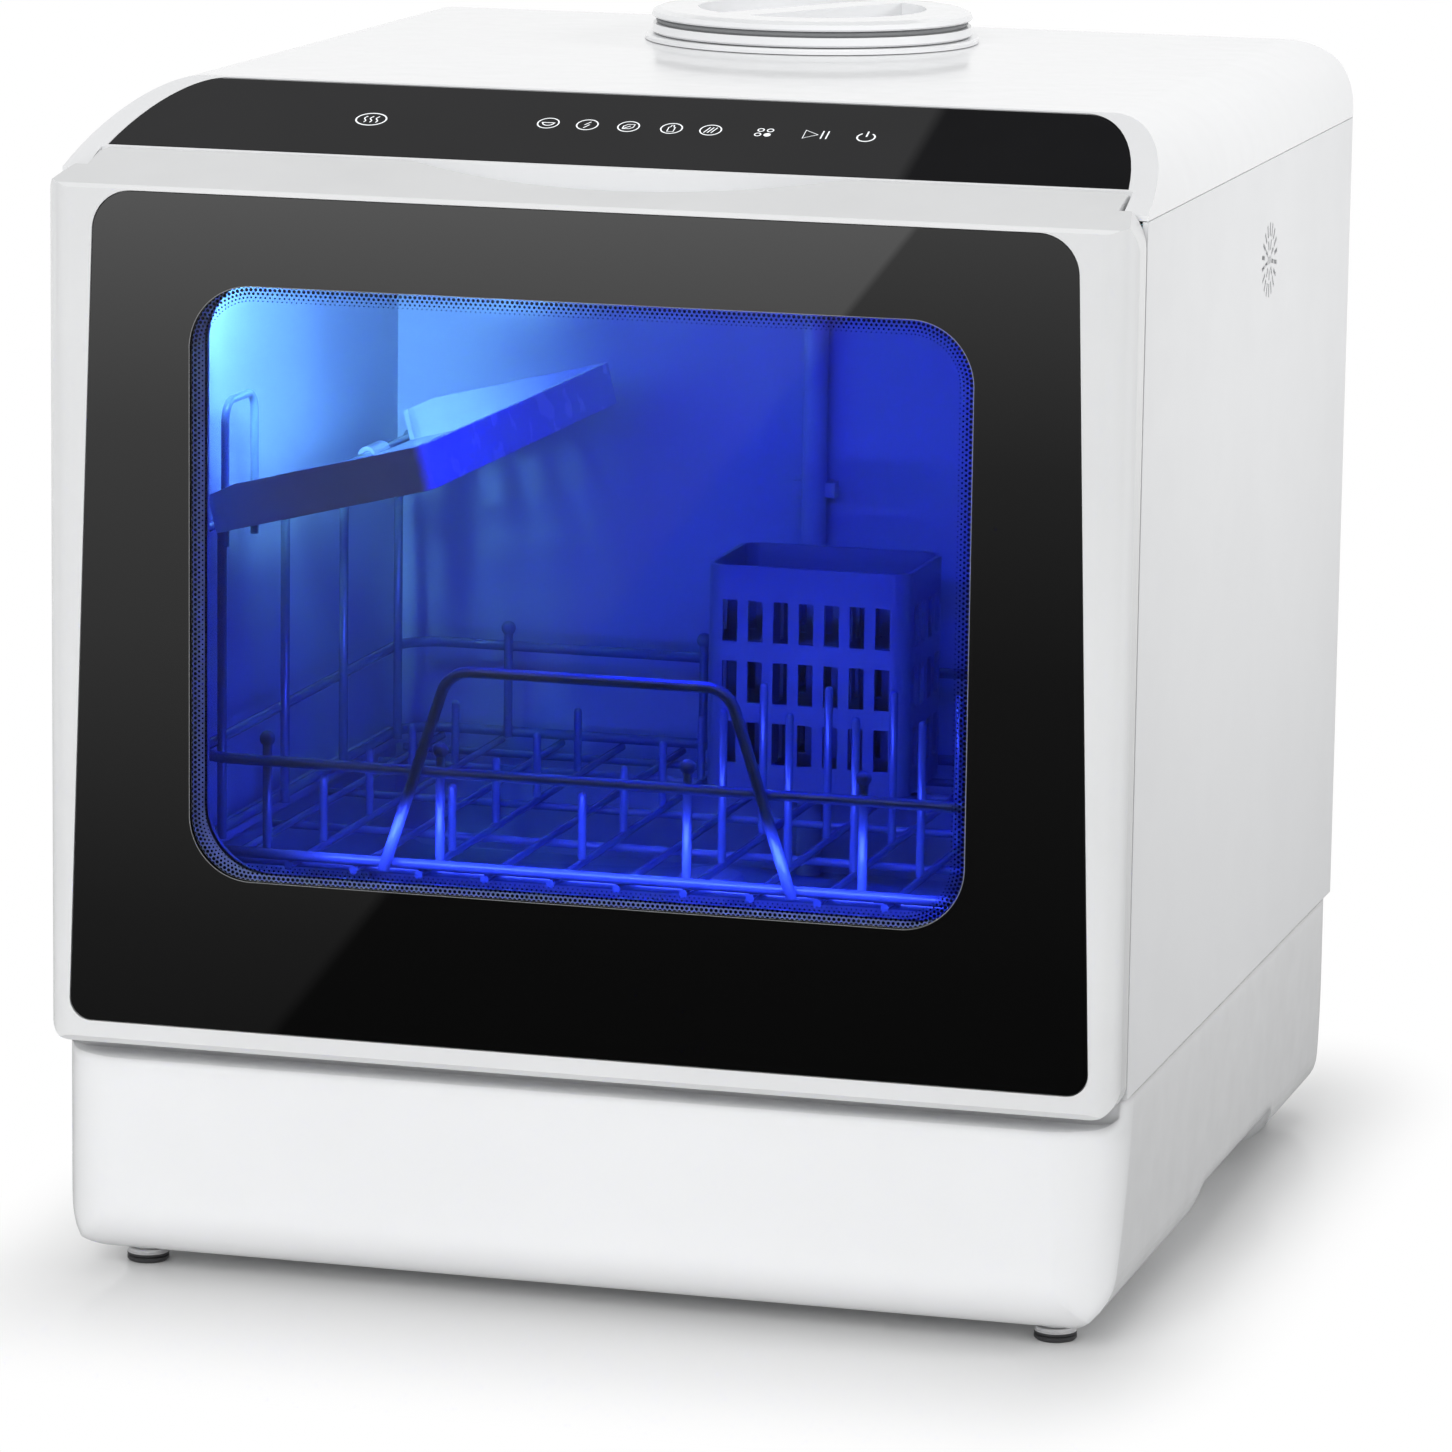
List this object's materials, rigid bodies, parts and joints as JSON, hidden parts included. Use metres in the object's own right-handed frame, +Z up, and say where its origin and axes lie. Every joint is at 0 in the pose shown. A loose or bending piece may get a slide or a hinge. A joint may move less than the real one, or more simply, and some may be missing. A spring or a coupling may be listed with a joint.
{
  "type": "countertop dishwasher",
  "caption": "Compact countertop dishwasher with a drop-down window door, pull-out wire rack, fold-up cup shelf, cutlery basket, spray arms and a built-in water tank with a twist cap.",
  "frame": {"origin": "centre of the footprint, on the surface the feet stand on", "axes": "+X to the right seen from the front, front faces -Y, +Z up"},
  "size_m": [0.412, 0.424, 0.461],
  "materials": {
    "white_shell": "smooth gloss moulding",
    "white_steel": "smooth powder coat",
    "zinc_steel": "zinc plated",
    "stainless": "fine brushed",
    "foot_white": "moulded",
    "dark_rubber": "moulded",
    "grey_rubber": "soft lip seal",
    "panel_black": "high gloss",
    "board_green": "circuit board",
    "tub_grey": "moulded satin",
    "works_grey": "moulded",
    "white_plastic": "moulded",
    "clear_hose": "milky",
    "pipe_grey": "moulded",
    "lamp_lens": "frosted clear lens",
    "connector_grey": "moulded",
    "black_plastic": "moulded",
    "front_glass": "polished, tinted",
    "print_black": "ceramic print behind the glass",
    "clear_glass": "polished",
    "rack_wire": "dip-coated wire",
    "shelf_grey": "moulded",
    "basket_grey": "moulded",
    "arm_grey": "moulded"
  },
  "bodies": {
    "cabinet": {"base_housing": "white_shell", "pump_tray": "zinc_steel", "foot_stems": "foot_white", "foot_pads": "dark_rubber", "left_side_panel": "white_steel", "right_side_panel": "white_steel", "rear_panel": "white_steel", "rear_screws": "zinc_steel", "top_cover": "white_shell", "control_panel": "panel_black", "control_board": "board_green", "tub": "tub_grey", "tub_flange": "tub_grey", "door_seal": "grey_rubber", "rack_ledges": "tub_grey", "sump_housing": "works_grey", "spray_post": "works_grey", "wash_pump": "works_grey", "pump_pipe": "dark_rubber", "heater": "stainless", "drain_pump": "works_grey", "inlet_valve": "white_plastic", "tank_hose": "clear_hose", "power_board": "board_green", "water_tank": "clear_hose", "tank_collar": "white_shell", "spray_pipe": "pipe_grey", "interior_lamps": "lamp_lens", "fan_housing": "works_grey", "water_inlet": "connector_grey", "drain_spigot": "connector_grey", "cord_gland": "black_plastic", "hinge_brackets": "zinc_steel", "hinge_pins": "zinc_steel", "latch_catch": "works_grey"},
    "door": {"door_frame": "white_shell", "door_glass": "front_glass", "glass_mask": "print_black", "window_gasket": "grey_rubber", "door_liner": "tub_grey", "inner_window": "clear_glass", "detergent_cup": "white_plastic", "latch_tongue": "zinc_steel", "hinge_blocks": "works_grey"},
    "rack": {"rack_frame": "rack_wire", "rack_floor": "rack_wire", "rack_tines": "rack_wire", "rack_handle": "rack_wire"},
    "cup_shelf": {"cup_shelf": "shelf_grey"},
    "basket": {"cutlery_basket": "basket_grey"},
    "lower_arm": {"lower_spray_arm": "arm_grey", "arm_caps": "pipe_grey"},
    "upper_arm": {"upper_spray_arm": "arm_grey"},
    "fan": {"fan_rotor": "black_plastic"},
    "filter": {"filter_cup": "stainless"},
    "cap": {"cap_plug": "white_shell", "cap_seal": "grey_rubber"},
    "cap_grip": {"cap_handle": "white_shell"}
  },
  "joints": [
    {"name": "door_hinge", "type": "hinge", "parent": "cabinet", "child": "door", "pos_m": [0, -0.2, 0.1005], "axis": [1, 0, 0], "range_deg": [0, 90]},
    {"name": "rack_slide", "type": "slide", "parent": "cabinet", "child": "rack", "axis": [0, -1, 0], "range_m": [0, 0.118]},
    {"name": "cup_shelf_fold", "type": "hinge", "parent": "rack", "child": "cup_shelf", "pos_m": [-0.1679, 0, 0.278], "axis": [0, -1, 0], "range_deg": [0, 65]},
    {"name": "basket_lift", "type": "slide", "parent": "rack", "child": "basket", "axis": [0, 0, 1], "range_m": [0, 0.06]},
    {"name": "lower_arm_spin", "type": "hinge", "parent": "cabinet", "child": "lower_arm", "pos_m": [0, -0.02, 0.125], "axis": [0, 0, 1], "continuous": true},
    {"name": "upper_arm_spin", "type": "hinge", "parent": "cabinet", "child": "upper_arm", "pos_m": [0, -0.02, 0.373], "axis": [0, 0, 1], "continuous": true},
    {"name": "fan_spin", "type": "hinge", "parent": "cabinet", "child": "fan", "pos_m": [0.19, 0.031, 0.372], "axis": [1, 0, 0], "continuous": true},
    {"name": "filter_twist", "type": "hinge", "parent": "cabinet", "child": "filter", "pos_m": [0.07, 0.05, 0.1], "axis": [0, 0, 1], "range_deg": [0, 60]},
    {"name": "cap_lift", "type": "slide", "parent": "cabinet", "child": "cap", "axis": [0, 0, 1], "range_m": [0, 0.08]},
    {"name": "cap_twist", "type": "hinge", "parent": "cap", "child": "cap_grip", "pos_m": [0, 0.113, 0.456], "axis": [0, 0, 1], "range_deg": [0, 90]}
  ],
  "couplings": [
    {"joint": "rack_slide", "follows": "door_hinge", "m_per_rad": 0.075}
  ]
}
